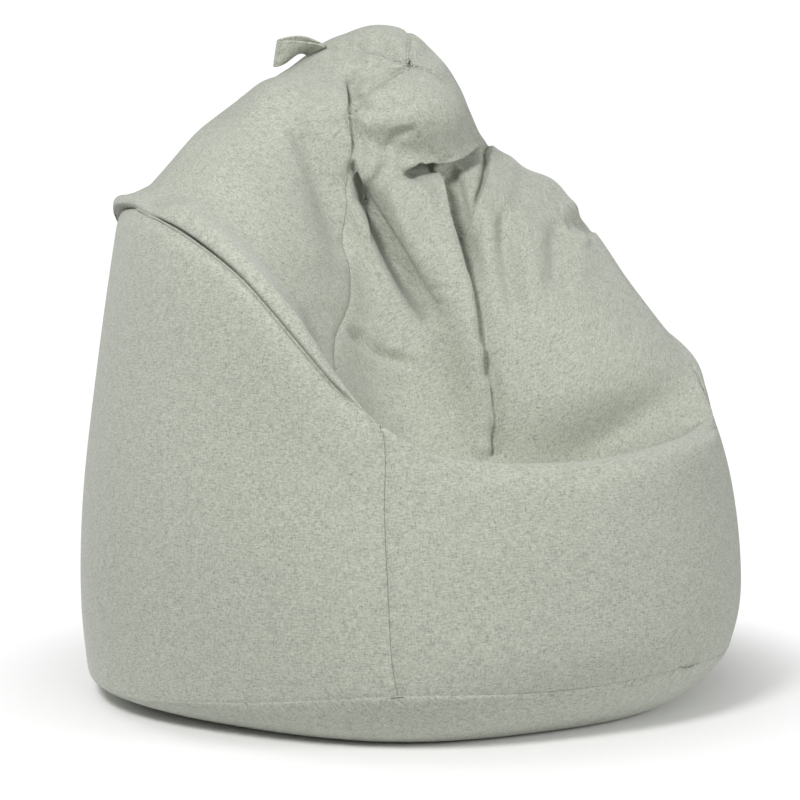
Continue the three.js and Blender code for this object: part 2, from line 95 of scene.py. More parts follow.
ANGLES = [-150, -120, -90, -60, -30, 0, 30, 60, 90, 120, 150, 180]
LEVELS = [  # in mm: name, middle across and to the back, radii, heights; turns in degrees
    ("base seam", 0, 0,
     [428, 424, 430, 418, 430, 414, 430, 414, 428, 416, 430, 416],
     [33, 28, 27, 50, 76, 70, 74, 50, 40, 38, 36, 34],
     [0, 0, 0, 0, 0.6, 0, 0, 0, 0, 0, 0, 0]),
    ("low side", 0, 0,
     [434, 433, 434, 430, 434, 429, 434, 429, 435, 434, 438, 434],
     [112, 112, 112, 114, 118, 116, 116, 112, 110, 110, 111, 112],
     [0, 0, 0, 0, -0.3, 0, 0, 0, 0, 0, 0, 0]),
    ("belly", 0, 0,
     [434, 429, 432, 431, 430, 428, 430, 429, 434, 438, 438, 436],
     [232, 242, 252, 235, 190, 182, 182, 182, 190, 200, 210, 220],
     [0, 0, 0, 0, -0.9, 0, 0, 0, 0, 0, 0, 0]),
    ("shoulder", 0, 0,
     [426, 407, 410, 411, 416, 416, 415, 418, 428, 436, 438, 436],
     [400, 425, 445, 400, 287, 272, 268, 268, 284, 300, 320, 340],
     [0, 0, 0, 0, -1.7, 0, 0, 0, 0, 0, 0, 0]),
    ("rim", 0, 0,
     [412, 379, 384, 393, 395, 392, 394, 399, 410, 424, 438, 428],
     [530, 610, 634, 572, 374, 333, 342, 345, 362, 385, 410, 460],
     [0, 0, 0, 0, -2.4, -1, 0, 0, 0, 0, 0, 0]),
    ("groove", 0, 30,
     [388, 364, 370, 362, 346, 330, 340, 402, 392, 402, 408, 402],
     [562, 621, 641, 553, 334, 298, 300, 374, 420, 450, 475, 510],
     [0, 0, 0, 0, -8, -5, -3, 0, 0, 0, 0, 0]),
    ("crease", 0, 60,
     [358, 322, 330, 326, 255, 220, 280, 404, 368, 376, 380, 375],
     [594, 634, 653, 549, 300, 274, 295, 400, 460, 505, 530, 570],
     [0, 0, 0, 0, -10, -8, -5, 0, 0, 0, 0, 0]),
    ("low back", 0, 90,
     [322, 278, 297, 298, 205, 190, 318, 392, 350, 346, 342, 340],
     [634, 655, 678, 588, 370, 360, 390, 434, 505, 555, 585, 620],
     [0, 0, 0, 0, -12, -9, -5, 0, 0, 0, 0, 0]),
    ("middle back", 0, 120,
     [268, 217, 250, 268, 176, 175, 285, 350, 318, 308, 298, 295],
     [680, 698, 718, 646, 480, 465, 480, 503, 565, 615, 640, 665],
     [0, 0, 0, 0, -6, -4, -2, 0, 0, 0, 0, 0]),
    ("high back", 0, 168,
     [186, 157, 177, 217, 160, 165, 226, 297, 272, 246, 234, 222],
     [728, 748, 753, 710, 605, 585, 588, 597, 642, 685, 705, 722],
     [0, 0, 0, 0, -2, -1, 0, 0, 0, 0, 0, 0]),
    ("neck", 0, 178,
     [130, 116, 130, 154, 150, 142, 158, 178, 176, 184, 172, 155],
     [766, 776, 782, 772, 705, 680, 677, 688, 712, 742, 758, 768],
     [-6, -12, -5, 0, 4, 0, 0, 0, 0, 0, 0, 0]),
    ("crown", 0, 165,
     [96, 90, 99, 117, 125, 140, 158, 139, 139, 130, 115, 105],
     [803, 796, 790, 774, 737, 740, 743, 754, 783, 805, 822, 820],
     [-15, -25, -12, 0, 0, 0, -5, -12, -10, -10, -12, -10]),
    ("brow", 12, 125,
     [66, 62, 62, 66, 72, 74, 78, 82, 84, 82, 78, 72],
     [833, 813, 793, 775, 770, 775, 785, 795, 815, 845, 852, 843],
     [-14, -20, -10, 0, 0, 0, -6, -15, -15, -22, -28, -18]),
    ("tip", 35, 78, [4] * 12,
     [807, 806, 804, 803, 802, 801, 802, 803, 804, 806, 807, 808],
     [0] * 12),
]
MM = 0.001

GORES = 4
PER_GORE = 165
COLUMNS = GORES * PER_GORE
CROWDING = 0.6  # how much closer the columns stand at the seams
FLAT_SHARE = 0.78  # of the base's radius rests on the floor
FIRST_SEAM = -120
ZIP_COLUMN = 3 * PER_GORE
ZIP_ANGLE = math.radians(150)
ZIP_RADIUS = 0.438
ZIP_LEVELS = (1, 4)
RIM_LEVEL = 4
TIP_LEVEL = 13


def ease(x):
    x = np.clip(x, 0, 1)
    return x * x * (3 - 2 * x)


def around(values, k):
    """A value given at each of the ANGLES, at places k counted in steps of 30 degrees."""
    v = np.array(values, float)
    i = np.floor(k).astype(int)
    s = k - i
    a, b, c, d = (v[(i + n) % len(v)] for n in (-1, 0, 1, 2))
    return b + (c - b) * s + 0.5 * s * (1 - s) * ((1 - s) * (2 * b - a - c) + s * (2 * c - b - d))


def column_angles(per_gore):
    f = np.arange(per_gore) / per_gore
    g = f - CROWDING * np.sin(2 * np.pi * f) / (2 * np.pi)
    return np.concatenate([FIRST_SEAM + 90 * (k + g) for k in range(GORES)])


def level_curves(angles):
    """The level curves as points: levels x columns x 3."""
    out = []
    for name, side, lean, radius, height, turn in LEVELS:
        k = (angles + 150) / 30
        k = k + around(turn, k) / 30
        a = np.radians(-150 + 30 * k)
        r = around(radius, k)
        out.append(np.stack([side + r * np.sin(a), lean - r * np.cos(a), around(height, k)], -1))
    return np.array(out) * MM


def up_the_side(curves, t):
    """A row of points at level t, on centripetal curves up through the level curves."""
    last = len(curves) - 1
    i = min(int(t), last - 1)
    w = t - i
    p1, p2 = curves[i], curves[i + 1]
    p0 = curves[i - 1] if i else 2 * p1 - p2
    p3 = curves[i + 2] if i + 2 <= last else 2 * p2 - p1
    d0, d1, d2 = (
        np.maximum(np.linalg.norm(b - a, axis=-1, keepdims=True), 1e-6) ** 0.5
        for a, b in ((p0, p1), (p1, p2), (p2, p3))
    )
    m1 = ((p1 - p0) / d0 - (p2 - p0) / (d0 + d1) + (p2 - p1) / d1) * d1
    m2 = ((p2 - p1) / d1 - (p3 - p1) / (d1 + d2) + (p3 - p2) / d2) * d1
    w2, w3 = w * w, w ** 3
    return (
        (2 * w3 - 3 * w2 + 1) * p1 + (w3 - 2 * w2 + w) * m1
        + (3 * w2 - 2 * w3) * p2 + (w3 - w2) * m2
    )


def spaced(stretches):
    """Rows of levels from (from, to, how many) stretches, with the end of the last."""
    rows = [np.linspace(a, b, n, endpoint=False) for a, b, n in stretches]
    return np.concatenate(rows + [[stretches[-1][1]]])


SIDE_ROWS = spaced([
    (0, 0.12, 8), (0.12, 1, 15), (1, 2, 26), (2, 3, 26), (3, 3.75, 18), (3.75, 3.95, 10),
    (3.95, 4.15, 20), (4.15, 5, 26), (5, 6, 24), (6, 7, 26), (7, 8, 34), (8, 9, 42),
    (9, 10, 34), (10, 11, 34), (11, 12, 34), (12, 12.8, 26), (12.8, 13, 8),
])
BASE_ROWS = 1 - (1 - np.linspace(0, 1, 46)[1:-1]) ** 1.3
TIP_ROWS = (0.7, 0.45)


def cover_grid(per_gore, side_rows, base_rows, tip_rows):
    """The whole cover from the middle of the floor to the tip."""
    curves = level_curves(column_angles(per_gore))
    side = [up_the_side(curves, t) for t in side_rows]
    zip_column = 3 * per_gore
    for row, t in zip(side, side_rows):
        if ZIP_LEVELS[0] <= t <= ZIP_LEVELS[1]:
            row[zip_column, :2] = (
                ZIP_RADIUS * math.sin(ZIP_ANGLE), -ZIP_RADIUS * math.cos(ZIP_ANGLE)
            )
    base = []
    for s in base_rows:
        lift = np.clip((s - FLAT_SHARE) / (1 - FLAT_SHARE), 0, 1) ** 1.9
        base.append(side[0] * [s, s, lift])
    middle = side[-1].mean(0)
    tip = [middle + (side[-1] - middle) * s for s in tip_rows]
    return np.array(base + side + tip)


grid = cover_grid(PER_GORE, SIDE_ROWS, BASE_ROWS, TIP_ROWS)
SIDE_START = len(BASE_ROWS)
SIDE_END = len(grid) - 1
level_of_row = np.concatenate([
    np.full(len(BASE_ROWS), -1.0), SIDE_ROWS, np.full(len(TIP_ROWS), float(TIP_LEVEL))
])
angle_of_column = column_angles(PER_GORE)
LEVEL = np.repeat(level_of_row[:, None], COLUMNS, 1)
ANGLE = np.repeat(((angle_of_column + 180) % 360 - 180)[None], len(grid), 0)


def normals(g):
    """Outward unit normals of a grid that closes round on itself."""
    across = np.roll(g, -1, 1) - np.roll(g, 1, 1)
    upwards = np.gradient(g, axis=0)
    n = np.cross(across, upwards)
    return n / np.maximum(np.linalg.norm(n, axis=-1, keepdims=True), 1e-12)


def window(values, low, high, soft):
    """1 between low and high, easing to 0 over soft beyond each."""
    return ease((values - low) / soft + 1) * ease((high - values) / soft + 1)


# ---- Folds ----

def fine_path(path, steps=8):
    """A smooth path through a few points."""
    p = np.array(path, float)
    p = np.vstack([2 * p[0] - p[1], p, 2 * p[-1] - p[-2]])
    out = []
    for i in range(1, len(p) - 2):
        for w in np.arange(steps) / steps:
            a, b, c, d = p[i - 1:i + 3]
            out.append(0.5 * (
                2 * b + (c - a) * w + (2 * a - 5 * b + 4 * c - d) * w ** 2
                + (3 * b - a - 3 * c + d) * w ** 3
            ))
    return np.array(out + [p[-2]])


def beside(points, path):
    """For points seen in the picture's plane: the distance to the right of the path as one
    goes along it (left is negative), how far along it they are from 0 to 1, and the way to
    its right."""
    q = fine_path(path)
    lengths = np.linalg.norm(np.diff(q, axis=0), axis=1)
    start = np.concatenate([[0], np.cumsum(lengths)])
    best = np.full(points.shape[:-1], 1e9)
    side = np.zeros_like(best)
    along = np.zeros_like(best)
    right = np.zeros(points.shape)
    for i, length in enumerate(lengths):
        d = (q[i + 1] - q[i]) / length
        rel = points - q[i]
        s = np.clip(rel @ d, 0, length)
        away = rel - s[..., None] * d
        distance = np.linalg.norm(away, axis=-1)
        nearer = distance < best
        r = np.array([d[1], -d[0]])
        best = np.where(nearer, distance, best)
        side = np.where(nearer, np.where(rel @ r >= 0, distance, -distance), side)
        along = np.where(nearer, (start[i] + s) / start[-1], along)
        right[nearer] = r
    return side, along, right


def taper(along, start, end):
    """Fades a fold in over its first share and out over its last."""
    return ease(along / max(start, 1e-6)) * ease((1 - along) / max(end, 1e-6))


def front_only(g, n):
    """1 where the cover faces the camera, easing to 0 where it turns away."""
    return ease((n @ SIGHT + 0.1) / 0.3)


def groove(g, path, depth, width, ends=(0.25, 0.25), levels=(4.3, 14), banks=0.3):
    """A soft valley along a path, with low banks beside it."""
    n = normals(g)
    s, along, _ = beside(seen(g), path)
    reach = taper(along, *ends) * window(LEVEL, *levels, 0.3) * front_only(g, n)
    valley = np.exp(-((s / width) ** 2))
    profile = banks * np.exp(-(((np.abs(s) - 2 * width) / width) ** 2)) - valley
    return g + n * (depth * profile * reach)[..., None]


def lip(g, path, height, depth, width, under, roll=0.0, ends=(0.2, 0.2), levels=(4.3, 14)):
    """A fold whose left side stands over its right. height and width are the lip's, depth
    and under the hollow's, and roll carries the lip's edge over the hollow."""
    n = normals(g)
    s, along, right = beside(seen(g), path)
    reach = taper(along, *ends) * window(LEVEL, *levels, 0.3) * front_only(g, n)
    over = height * np.exp(np.minimum(s, 0) / width) * ease((0.0015 - s) / 0.003)
    below = -depth * np.exp(-((s / under) ** 2)) * ease((s + 0.002) / 0.003)
    way = right[..., :1] * RIGHT + right[..., 1:] * UP
    way = way - n * np.sum(way * n, -1, keepdims=True)
    carried = roll * np.exp(-(((s + 0.004) / 0.007) ** 2)) * ease((0.0015 - s) / 0.003)
    return g + n * ((over + below) * reach)[..., None] + way * (carried * reach)[..., None]


def lobe_filled(g):
    """Lifts the cloth behind the left arm's rim, so that the back's left lobe comes down to it."""
    share = window(ANGLE, -72, -46, 13) * window(LEVEL, 4.5, 6.2, 0.45)
    out = g.copy()
    out[..., 2] += 0.034 * share
    return out


def arm_crease(g):
    """The crease along the left arm's rim: cloth from above comes down over the side, and
    bulges most at the left end."""
    n = normals(g)
    rim = SIDE_START + int(np.argmin(np.abs(SIDE_ROWS - RIM_LEVEL)))
    step = np.linalg.norm(np.diff(g, axis=0), axis=2)
    up_along = np.concatenate([np.zeros((1, g.shape[1])), np.cumsum(step, 0)])
    s = up_along - up_along[rim]
    end = window(ANGLE, -135, -106, 20)
    whole = window(ANGLE, -132, -42, 10)
    middle = 0.007 * window(ANGLE, -82, -40, 20)
    above = s > 0
    rise = (0.009 * end + 0.003 * (whole - end).clip(0)) * above
    rise = rise * np.exp(-(((s - 0.012) / 0.016) ** 2))
    deep = 0.011 + 0.008 * window(ANGLE, -66, -40, 14)
    sink = -deep * np.exp(-(((s - middle) / 0.0036) ** 2))
    sink = sink - 0.003 * np.exp(-((s / 0.012) ** 2)) * (s < 0)
    drop = -0.006 * whole * np.exp(-(((s - middle - 0.006) / 0.006) ** 2)) * above
    along = np.gradient(g, axis=0)
    along /= np.maximum(np.linalg.norm(along, axis=-1, keepdims=True), 1e-9)
    push = rise + whole * sink
    return g + n * push[..., None] + along * drop[..., None]


def smoothed(g, times, levels=(4.3, 13.2)):
    """Evens out the grid between levels, a little each time."""
    share = 0.5 * window(LEVEL, *levels, 0.3)[..., None]
    for _ in range(times):
        upright = np.concatenate([g[:1], g[:-1]]) + np.concatenate([g[1:], g[-1:]])
        mean = (upright + np.roll(g, 1, 1) + np.roll(g, -1, 1)) / 4
        g = g + (mean - g) * share
    return g


def swell(g, centre, size, height, levels=(4.3, 14)):
    """A soft bulge towards the camera's side, centred on a place in the picture's plane."""
    n = normals(g)
    q = (seen(g) - centre) / size
    reach = np.exp(-np.sum(q * q, -1)) * window(LEVEL, *levels, 0.3) * front_only(g, n)
    way = n + SIGHT
    way /= np.maximum(np.linalg.norm(way, axis=-1, keepdims=True), 1e-9)
    return g + way * (height * reach)[..., None]


def ridge(g, path, height, width, ends=(0.25, 0.25), levels=(4.3, 14)):
    """A soft ridge along a path."""
    return groove(g, path, -height, width, ends, levels, 0)


# Paths are across and up in the picture's plane, in metres, given to the nearest 5 mm.
VALLEY = [(-0.06, 0.69), (-0.035, 0.635), (0, 0.58), (0.03, 0.53), (0.06, 0.47)]
HOOD = [(0, 0.665), (0.025, 0.685), (0.07, 0.69), (0.1, 0.71)]
LONG_FOLD = [(0.115, 0.29), (0.115, 0.36), (0.1, 0.485), (0.08, 0.56), (0.065, 0.61), (0.05, 0.68)]
PLEAT = [(0.12, 0.715), (0.115, 0.66), (0.1, 0.62), (0.08, 0.56)]


def big_folds(g):
    """The folds that the cloth is relaxed over."""
    g = lobe_filled(g)
    # The tip flops forward.
    g = swell(g, (0.02, 0.74), (0.062, 0.052), 0.015)
    # The tongue that hangs from the tip, and the valley on its left.
    g = ridge(g, [(0, 0.665), (0.04, 0.57), (0.08, 0.46), (0.095, 0.33)], 0.020, 0.024, (0.1, 0.4))
    g = groove(g, [(-0.055, 0.66), (-0.02, 0.575), (0.03, 0.485), (0.05, 0.45)], 0.046, 0.014,
               (0.15, 0.4), banks=0.15)
    # The hollow on its right, and the pleats beside that.
    g = groove(g, [(0.07, 0.68), (0.08, 0.6), (0.1, 0.5)], 0.020, 0.010, (0.05, 0.5), banks=0.1)
    g = ridge(g, [(0.135, 0.705), (0.135, 0.65), (0.11, 0.56)], 0.008, 0.014)
    # Two soft valleys down the right side, with the shoulder's swelling above them.
    g = groove(g, [(0.13, 0.64), (0.135, 0.56), (0.15, 0.46)], 0.013, 0.012)
    g = groove(g, [(0.2, 0.61), (0.2, 0.5)], 0.012, 0.014)
    g = swell(g, (0.2, 0.655), (0.034, 0.030), 0.016)
    g = groove(g, [(0.21, 0.59), (0.235, 0.6), (0.255, 0.59)], 0.012, 0.012, (0.3, 0.1))
    # The left lobe's long hollow, and the hollow between it and the tip.
    g = groove(g, [(-0.13, 0.74), (-0.09, 0.6), (-0.06, 0.54)], 0.010, 0.020, (0.2, 0.2), banks=0.4)
    g = groove(g, [(-0.065, 0.805), (-0.06, 0.74)], 0.010, 0.011, (0.3, 0.5))
    # The dent in the top, and the soft roll below it.
    g = groove(g, [(-0.06, 0.82), (-0.03, 0.835), (0, 0.815)], 0.010, 0.009)
    g = ridge(g, [(-0.055, 0.815), (-0.005, 0.8)], 0.006, 0.008)
    g = groove(g, [(-0.055, 0.74), (0.035, 0.765)], 0.005, 0.011, (0.1, 0.4), banks=0.4)
    return g


def sharp_folds(g):
    """The folds with an edge, laid in after the cloth is relaxed."""
    g = arm_crease(g)
    # The lobe's edge over the tip's left side.
    g = lip(g, [(-0.06, 0.68), (-0.065, 0.74), (-0.07, 0.8)], 0.003, 0.006, 0.020, 0.009, 0, (0.3, 0.3))
    # The tip hangs over the tongue.
    g = lip(g, HOOD, 0.012, 0.030, 0.024, 0.017, 0.009, (0.2, 0.05))
    # The tongue's left edge over the valley, and the valley's other edge.
    g = lip(g, VALLEY, 0.006, 0.018, 0.016, 0.011, 0.007, (0.08, 0.3))
    g = lip(g, [(-0.035, 0.57), (-0.05, 0.65)], 0.002, 0.004, 0.016, 0.006, 0.002, (0.3, 0.4))
    # The tongue's right edge, and the long fold below it down to the seat.
    g = lip(g, LONG_FOLD, 0.009, 0.018, 0.016, 0.013, 0.004, (0.04, 0.08))
    # The pleats on its right.
    g = lip(g, PLEAT, 0.007, 0.013, 0.012, 0.008, 0.006, (0.15, 0.25))
    g = groove(g, [(0.09, 0.64), (0.08, 0.565)], 0.005, 0.004, (0.3, 0.3))
    g = groove(g, [(0.065, 0.68), (0.08, 0.63), (0.085, 0.58)], 0.007, 0.005, (0.1, 0.4))
    # Wrinkles in the hood, beside it, and on the tongue.
    g = groove(g, [(-0.02, 0.69), (-0.005, 0.715), (0.025, 0.725)], 0.0035, 0.006)
    g = groove(g, [(-0.03, 0.65), (-0.015, 0.685)], 0.006, 0.007, (0.2, 0.4))
    g = groove(g, [(0.04, 0.63), (0.07, 0.615)], 0.003, 0.003)
    g = groove(g, [(0.035, 0.515), (0.075, 0.52)], 0.003, 0.003)
    g = groove(g, [(0.03, 0.5), (0.06, 0.495)], 0.003, 0.003)
    # The seat's crease.
    g = groove(g, [(-0.07, 0.47), (-0.025, 0.43), (0.03, 0.415)], 0.010, 0.008, (0.25, 0.4))
    # Faint wrinkles low on the right.
    g = groove(g, [(0.34, -0.01), (0.395, 0.04)], 0.003, 0.006, levels=(0.0, 2.5))
    g = groove(g, [(0.185, 0.09), (0.22, 0.005)], 0.0025, 0.009, levels=(0.0, 2.5))
    return smoothed(g, 1)


# ---- The cloth relaxed ----

CLOTH_FRAMES = 20
MOST_MOVED = 0.012


def relaxed(g):
    """The grid after its cloth, cut a little too large at the top, has settled over the beads."""
    keep_rows, keep_columns = 4, 3
    rows = np.unique(np.concatenate([np.arange(0, len(g), keep_rows), [len(g) - 1]]))
    columns = np.arange(0, COLUMNS, keep_columns)
    coarse = g[rows][:, columns]
    r, c = coarse.shape[:2]
    poles = [coarse[0].mean(0), coarse[-1].mean(0)]
    obj = mesh_from("relaxing", np.vstack([coarse.reshape(-1, 3), poles]), capped_quads(r, c))
    level = LEVEL[rows][:, columns]
    angle = ANGLE[rows][:, columns]
    slack = window(level, 4.6, 11.5, 1.0) * (0.35 + 0.65 * window(angle, -60, 75, 30))
    slack = np.maximum(slack, 0.25 * window(level, 0.2, 1.2, 0.8))
    near_zip = window(angle, 140, 160, 8) * window(level, 0.9, 4.1, 0.5)
    hold = 0.03 + 0.97 * np.maximum(window(level, -2, 0.0, 0.1), near_zip)
    for name, weights in (("slack", slack), ("hold", hold)):
        group = obj.vertex_groups.new(name=name)
        flat = np.append(weights.ravel(), [1.0 if name == "hold" else 0.0] * 2)
        for value in np.unique(np.round(flat, 2)):
            group.add(np.nonzero(np.round(flat, 2) == value)[0].tolist(), float(value), "REPLACE")
    cloth = obj.modifiers.new("Cloth", "CLOTH")
    s = cloth.settings
    s.quality = 5
    s.mass = 0.3
    s.tension_stiffness = 20
    s.compression_stiffness = 20
    s.shear_stiffness = 5
    s.bending_stiffness = 0.6
    s.use_pressure = True
    s.uniform_pressure_force = 0.6
    s.effector_weights.gravity = 0
    s.vertex_group_mass = "hold"
    s.pin_stiffness = 0.25
    s.vertex_group_shrink = "slack"
    s.shrink_min = 0.0
    s.shrink_max = -0.05
    cloth.collision_settings.use_collision = False
    scene = bpy.context.scene
    scene.frame_start, scene.frame_end = 1, CLOTH_FRAMES
    for f in range(1, CLOTH_FRAMES + 1):
        scene.frame_set(f)
    done = obj.evaluated_get(bpy.context.evaluated_depsgraph_get()).to_mesh()
    moved = np.empty(len(done.vertices) * 3, np.float32)
    done.vertices.foreach_get("co", moved)
    moved = moved.reshape(-1, 3)[: r * c].reshape(r, c, 3) - coarse
    scene.frame_set(1)
    bpy.data.objects.remove(obj)
    size = np.linalg.norm(moved, axis=-1, keepdims=True)
    moved = moved * (MOST_MOVED * np.tanh(size / MOST_MOVED) / np.maximum(size, 1e-9))
    # Spread the movement over the fine grid.
    spread = np.empty((len(g), c, 3))
    for k in range(3):
        for j in range(c):
            spread[:, j, k] = np.interp(np.arange(len(g)), rows, moved[:, j, k])
    wide = np.concatenate([spread, spread[:, :1]], 1)
    at = np.arange(COLUMNS) / keep_columns
    i = np.floor(at).astype(int)
    w = (at - i)[None, :, None]
    return g + wide[:, i] * (1 - w) + wide[:, i + 1] * w


# ---- Meshes ----

def mesh_from(name, vertices, faces, smooth=True):
    """A new object from an array of points and one of quads, where -1 ends a triangle."""
    mesh = bpy.data.meshes.new(name)
    verts = np.asarray(vertices, np.float32).reshape(-1, 3)
    quads = np.asarray(faces, np.int32).reshape(-1, 4)
    sizes = np.where(quads[:, 3] < 0, 3, 4)
    loops = quads[quads >= 0]
    mesh.vertices.add(len(verts))
    mesh.vertices.foreach_set("co", verts.ravel())
    mesh.loops.add(len(loops))
    mesh.loops.foreach_set("vertex_index", loops)
    mesh.polygons.add(len(quads))
    starts = np.concatenate([[0], np.cumsum(sizes)[:-1]]).astype(np.int32)
    mesh.polygons.foreach_set("loop_start", starts)
    mesh.polygons.foreach_set("use_smooth", np.full(len(quads), smooth))
    mesh.update(calc_edges=True)
    mesh.validate()
    obj = bpy.data.objects.new(name, mesh)
    bpy.context.scene.collection.objects.link(obj)
    return obj


def quads_of(rows, columns, ring=False, start=0, flip=False):
    """Quads over a grid of points numbered row by row from start."""
    r, c = np.meshgrid(np.arange(rows - 1), np.arange(columns if ring else columns - 1), indexing="ij")
    n = (c + 1) % columns
    q = np.stack([r * columns + c, r * columns + n, (r + 1) * columns + n, (r + 1) * columns + c], -1)
    q = q.reshape(-1, 4) + start
    return q[:, ::-1] if flip else q


def capped_quads(rows, columns):
    """The faces of a ringed grid whose ends are closed by two poles, numbered last."""
    size = rows * columns
    c = np.arange(columns)
    n = (c + 1) % columns
    none = np.full(columns, -1)
    return np.vstack([
        quads_of(rows, columns, True),
        np.stack([np.full(columns, size), n, c, none], -1),
        np.stack([np.full(columns, size + 1), c + size - columns, n + size - columns, none], -1),
    ])


def shell(name, outside, inside):
    """A closed sheet between two grids of the same size with open edges."""
    rows, columns = outside.shape[:2]
    size = rows * columns
    index = np.arange(size).reshape(rows, columns)
    loop = np.concatenate([index[0, :], index[1:, -1], index[-1, -2::-1], index[-2:0:-1, 0]])
    after = np.roll(loop, -1)
    wall = np.stack([after, loop, loop + size, after + size], -1)
    faces = np.vstack([quads_of(rows, columns), quads_of(rows, columns, start=size, flip=True), wall])
    return mesh_from(name, np.concatenate([outside.reshape(-1, 3), inside.reshape(-1, 3)]), faces)


def disc(name, outside, inside, poles, pole_first):
    """A closed sheet between two ringed grids, each closed at one end by its pole."""
    rows, columns = outside.shape[:2]
    size = rows * columns
    c = np.arange(columns)
    n = (c + 1) % columns
    pole_row, open_row = ((0, rows - 1) if pole_first else (rows - 1, 0))
    a, b = pole_row * columns + c, pole_row * columns + n
    tops = [2 * size, 2 * size + 1]
    none = np.full(columns, -1)
    fan_out = [np.full(columns, tops[0]), b, a] if pole_first else [np.full(columns, tops[0]), a, b]
    fan_in = [np.full(columns, tops[1]), a + size, b + size] if pole_first else [
        np.full(columns, tops[1]), b + size, a + size]
    p, q = open_row * columns + c, open_row * columns + n
    wall = np.stack([p, p + size, q + size, q] if not pole_first else [q, q + size, p + size, p], -1)
    faces = np.vstack([
        quads_of(rows, columns, True), quads_of(rows, columns, True, size, True),
        np.stack(fan_out + [none], -1), np.stack(fan_in + [none], -1), wall,
    ])
    verts = np.concatenate([outside.reshape(-1, 3), inside.reshape(-1, 3), np.array(poles)])
    return mesh_from(name, verts, faces)


def tube(name, path, radii, sides=8, section=None):
    """A tube along a path with a radius at each point, closed at both ends."""
    p = np.asarray(path, float)
    t = np.gradient(p, axis=0)
    t /= np.linalg.norm(t, axis=1, keepdims=True)
    side = np.cross(t, np.where(np.abs(t[:, 2:]) > 0.9, [[1.0, 0, 0]], [[0, 0, 1.0]]))
    side /= np.linalg.norm(side, axis=1, keepdims=True)
    other = np.cross(t, side)
    a = np.arange(sides) * 2 * np.pi / sides
    ring = np.cos(a)[None, :, None] * side[:, None] + np.sin(a)[None, :, None] * other[:, None]
    pts = p[:, None] + ring * np.asarray(radii)[:, None, None]
    count = len(p)
    faces = [quads_of(count, sides, True, flip=True)]
    ends = []
    for row, pole in ((0, count * sides), (count - 1, count * sides + 1)):
        c = np.arange(sides) + row * sides
        n = (np.arange(sides) + 1) % sides + row * sides
        fan = [np.full(sides, pole), c, n] if row == 0 else [np.full(sides, pole), n, c]
        ends.append(np.stack(fan + [np.full(sides, -1)], -1))
    return mesh_from(name, np.vstack([pts.reshape(-1, 3), p[:1], p[-1:]]), np.vstack(faces + ends))


# ---- Seams ----

SEAM_GAP = 0.0003
ZIP_GAP = 0.0045


def row_places(g):
    """How far round its row each point is, and how long the row is."""
    step = np.linalg.norm(np.roll(g, -1, 1) - g, axis=2)
    place = np.concatenate([np.zeros((len(g), 1)), np.cumsum(step, 1)], 1)
    return place[:, :-1], place[:, -1:]


def column_places(g):
    """How far up its column each point is."""
    step = np.linalg.norm(np.diff(g, axis=0), axis=2)
    return np.concatenate([np.zeros((1, g.shape[1])), np.cumsum(step, 0)])


def zip_share(level):
    """1 where the rear seam holds the zip."""
    return window(level, ZIP_LEVELS[0] + 0.03, ZIP_LEVELS[1] + 0.06, 0.12)


def drawn_in(g):
    """Every seam pulls the cloth in beside it, in small puckers."""
    n = normals(g)
    around_row, total = row_places(g)
    up_column = column_places(g)
    depth = np.zeros(g.shape[:2])
    on_side = window(LEVEL, 0, TIP_LEVEL, 0.02)
    rng = np.random.default_rng(11)

    def draw(distance, along, share):
        shift, wave = rng.uniform(0, 6, 3), rng.uniform(0.011, 0.019, 2)
        pucker = np.sin(2 * np.pi * along / wave[0] + shift[0] + 2 * np.sin(along / 0.06 + shift[1]))
        pucker = pucker + 0.6 * np.sin(2 * np.pi * along / wave[1] + shift[2])
        near = np.exp(-((distance / 0.0035) ** 2))
        wide = np.exp(-((distance / 0.013) ** 2))
        bank = np.exp(-(((distance - 0.010) / 0.006) ** 2))
        return share * (-0.0012 * near - 0.0012 * wide + 0.0003 * bank + 0.00025 * pucker * wide)

    for k in range(GORES):
        c = k * PER_GORE
        distance = np.abs(around_row - around_row[:, c:c + 1])
        distance = np.minimum(distance, total - distance)
        plain = 1 - zip_share(LEVEL) if c == ZIP_COLUMN else 1
        tight = 1 + 1.5 * window(LEVEL, 11.0, TIP_LEVEL, 0.6)
        depth += draw(distance, up_column, plain * on_side * tight)
    depth += draw(np.abs(up_column - up_column[SIDE_START]), around_row, 1)
    return g + n * np.maximum(depth, -0.004)[..., None]


cover = big_folds(grid)
cover = relaxed(cover)
cover = drawn_in(sharp_folds(cover))
cover[..., 2] = np.maximum(cover[..., 2], 0.0)
facing = normals(cover)
facing[cover[..., 2] <= 0] = (0, 0, -1)
CLOTH = 0.0016


def sunk(rows, columns, depth):
    """Points of the cover, sunk in along its normals."""
    return (cover - facing * depth)[rows][:, columns]


def spread_edges(points, columns, rows):
    """Holds a gore's edges back from its seams, and from the zip."""
    out = points.copy()
    for edge, inner in ((0, 1), (-1, -2)):
        tangent = points[:, inner] - points[:, edge]
        tangent /= np.linalg.norm(tangent, axis=1, keepdims=True)
        place = np.linalg.norm(points - points[:, [edge]], axis=2)
        share = zip_share(level_of_row[rows]) if columns[edge] % COLUMNS == ZIP_COLUMN else 0
        gap = (SEAM_GAP + (ZIP_GAP - SEAM_GAP) * share) * np.ones(len(rows))
        fade = np.exp(-place / 0.02) * (place < 0.12)
        out += tangent[:, None] * (gap[:, None] * fade)[..., None]
    for edge, inner in ((0, 1), (-1, -2)):
        way = points[inner] - points[edge]
        out[edge] += way / np.linalg.norm(way, axis=1, keepdims=True) * SEAM_GAP
    return out


